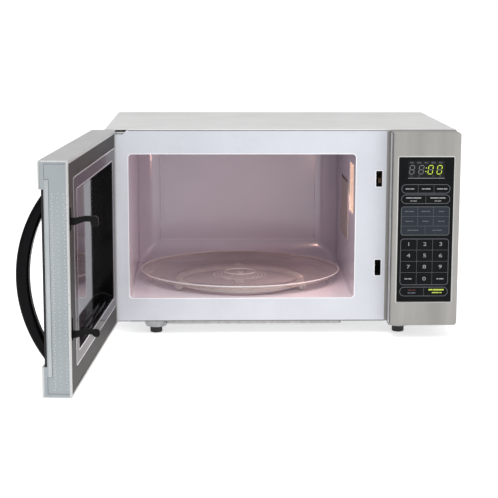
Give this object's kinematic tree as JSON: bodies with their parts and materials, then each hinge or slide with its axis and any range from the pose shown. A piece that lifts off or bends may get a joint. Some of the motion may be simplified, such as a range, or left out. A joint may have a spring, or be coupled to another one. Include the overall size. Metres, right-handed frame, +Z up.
{
  "type": "microwave oven",
  "caption": "Countertop microwave oven with its side-hung door open, hooked door latch, bow handle, key panel, enamelled cavity, glass turntable on a roller ring, and its inner parts.",
  "frame": {"origin": "on the worktop, under the middle of the space that the oven takes up with its door open", "axes": "+Z up, +X to the user's right across the cabinet, +Y from the front plate to the back"},
  "size_m": [0.5904, 0.7559, 0.304],
  "materials": {
    "cover_paint": "light grey powder coat, fine orange peel",
    "plate_enamel": "white gloss paint",
    "cavity_enamel": "white enamel, slightly glossy",
    "zinc_steel": "zinc plated, faint spangle",
    "screw_steel": "bright plated",
    "silver_plastic": "silver metallic paint, fine brushed look",
    "key_field": "gloss black printed membrane",
    "display_glass": "smoked lens over a lit display",
    "door_black": "black backed gloss glass",
    "pane_film": "gloss black film",
    "seal_enamel": "grey gloss enamel",
    "choke_plastic": "dark grey, fine texture",
    "black_gloss": "gloss black moulding",
    "black_plastic": "black acetal",
    "foot_plastic": "black, satin",
    "tray_glass": "clear pressed glass",
    "white_nylon": "natural white nylon",
    "mica": "pressed mica board",
    "lamp_glass": "clear lamp glass",
    "board_green": "solder-masked board",
    "display_block": "black",
    "copper": "lacquered copper wire",
    "core_steel": "stacked steel, lacquered",
    "aluminium": "thin pressed fins",
    "motor_steel": "plated can",
    "gland_rubber": "moulded",
    "fan_plastic": "grey moulding"
  },
  "bodies": {
    "cabinet": {"outer_cover": "cover_paint", "front_plate": "plate_enamel", "cavity_box": "cavity_enamel", "lamp_screen": "cavity_enamel", "mica_cover": "mica", "base_plate": "zinc_steel", "rear_panel": "zinc_steel", "cabinet_screws": "screw_steel", "cord_gland": "gland_rubber", "foot_front_left": "foot_plastic", "foot_rear_left": "foot_plastic", "foot_front_right": "foot_plastic", "foot_rear_right": "foot_plastic", "upper_hinge_bracket": "screw_steel", "lower_hinge_bracket": "screw_steel", "control_bezel": "silver_plastic", "keypad_membrane": "key_field", "display_window": "display_glass", "display_module": "display_block", "control_board": "board_green", "latch_board": "black_plastic", "door_switches": "black_plastic", "waveguide": "zinc_steel", "magnetron": "aluminium", "transformer_core": "core_steel", "transformer_windings": "copper", "hv_capacitor": "aluminium", "capacitor_bracket": "zinc_steel", "hv_diode": "black_plastic", "fan_shroud": "fan_plastic", "fan_motor": "core_steel", "lamp_bulb": "lamp_glass", "lamp_holder": "white_nylon", "thermal_cutout": "black_plastic", "noise_filter_board": "board_green", "turntable_motor": "motor_steel"},
    "door": {"door_frame": "silver_plastic", "hinge_bushes": "white_nylon", "door_glass": "door_black", "door_choke_frame": "seal_enamel", "choke_cover": "choke_plastic", "door_screen": "core_steel", "inner_window": "pane_film", "door_handle": "black_gloss", "handle_screws": "screw_steel", "latch_spring": "screw_steel"},
    "door_key": {"latch_key": "black_plastic"},
    "turntable": {"turntable_coupler": "white_nylon", "motor_shaft": "white_nylon"},
    "tray": {"glass_tray": "tray_glass"},
    "ring": {"roller_ring": "white_nylon"},
    "roller_1": {"roller_1": "white_nylon"},
    "roller_2": {"roller_2": "white_nylon"},
    "roller_3": {"roller_3": "white_nylon"},
    "fan": {"fan_blade": "fan_plastic"},
    "secondary_plunger": {"secondary_plunger": "white_nylon"},
    "monitor_plunger": {"monitor_plunger": "white_nylon"},
    "primary_plunger": {"primary_plunger": "white_nylon"}
  },
  "joints": [
    {"name": "door_hinge", "type": "hinge", "parent": "cabinet", "child": "door", "pos_m": [-0.209, 0.0265, 0.16], "axis": [0, 0, 1], "range_deg": [0, 94.1]},
    {"name": "key_slide", "type": "slide", "parent": "door", "child": "door_key", "axis": [0, 0, 1], "range_m": [0, 0.0036], "stiffness_N_per_m": 200, "springref_m": -0.005, "deforming": ["latch_spring"]},
    {"name": "turntable_spin", "type": "hinge", "parent": "cabinet", "child": "turntable", "pos_m": [-0.017, 0.199, 0.05], "axis": [0, 0, 1], "continuous": true},
    {"name": "tray_lift", "type": "slide", "parent": "turntable", "child": "tray", "axis": [0, 0, 1], "range_m": [0, 0.03]},
    {"name": "ring_spin", "type": "hinge", "parent": "cabinet", "child": "ring", "pos_m": [-0.017, 0.199, 0.0528], "axis": [0, 0, 1], "continuous": true},
    {"name": "roller_1_spin", "type": "hinge", "parent": "ring", "child": "roller_1", "pos_m": [0.07826, 0.144, 0.0528], "axis": [0.866, -0.5, 0], "continuous": true},
    {"name": "roller_2_spin", "type": "hinge", "parent": "ring", "child": "roller_2", "pos_m": [-0.017, 0.309, 0.0528], "axis": [0, 1, 0], "continuous": true},
    {"name": "roller_3_spin", "type": "hinge", "parent": "ring", "child": "roller_3", "pos_m": [-0.11226, 0.144, 0.0528], "axis": [-0.866, -0.5, 0], "continuous": true},
    {"name": "fan_spin", "type": "hinge", "parent": "cabinet", "child": "fan", "pos_m": [0.222, 0.3505, 0.185], "axis": [0, 1, 0], "continuous": true},
    {"name": "secondary_press", "type": "slide", "parent": "cabinet", "child": "secondary_plunger", "axis": [0, 1, 0], "range_m": [0, 0.001], "stiffness_N_per_m": 100, "springref_m": -0.0005},
    {"name": "monitor_press", "type": "slide", "parent": "cabinet", "child": "monitor_plunger", "axis": [0, 1, 0], "range_m": [0, 0.001], "stiffness_N_per_m": 100, "springref_m": -0.0005},
    {"name": "primary_press", "type": "slide", "parent": "cabinet", "child": "primary_plunger", "axis": [0, 1, 0], "range_m": [0, 0.001], "stiffness_N_per_m": 100, "springref_m": -0.0005}
  ],
  "couplings": [
    {"joint": "ring_spin", "follows": "turntable_spin", "ratio": 0.5},
    {"joint": "roller_1_spin", "follows": "turntable_spin", "ratio": -7.8571},
    {"joint": "roller_2_spin", "follows": "turntable_spin", "ratio": -7.8571},
    {"joint": "roller_3_spin", "follows": "turntable_spin", "ratio": -7.8571}
  ]
}
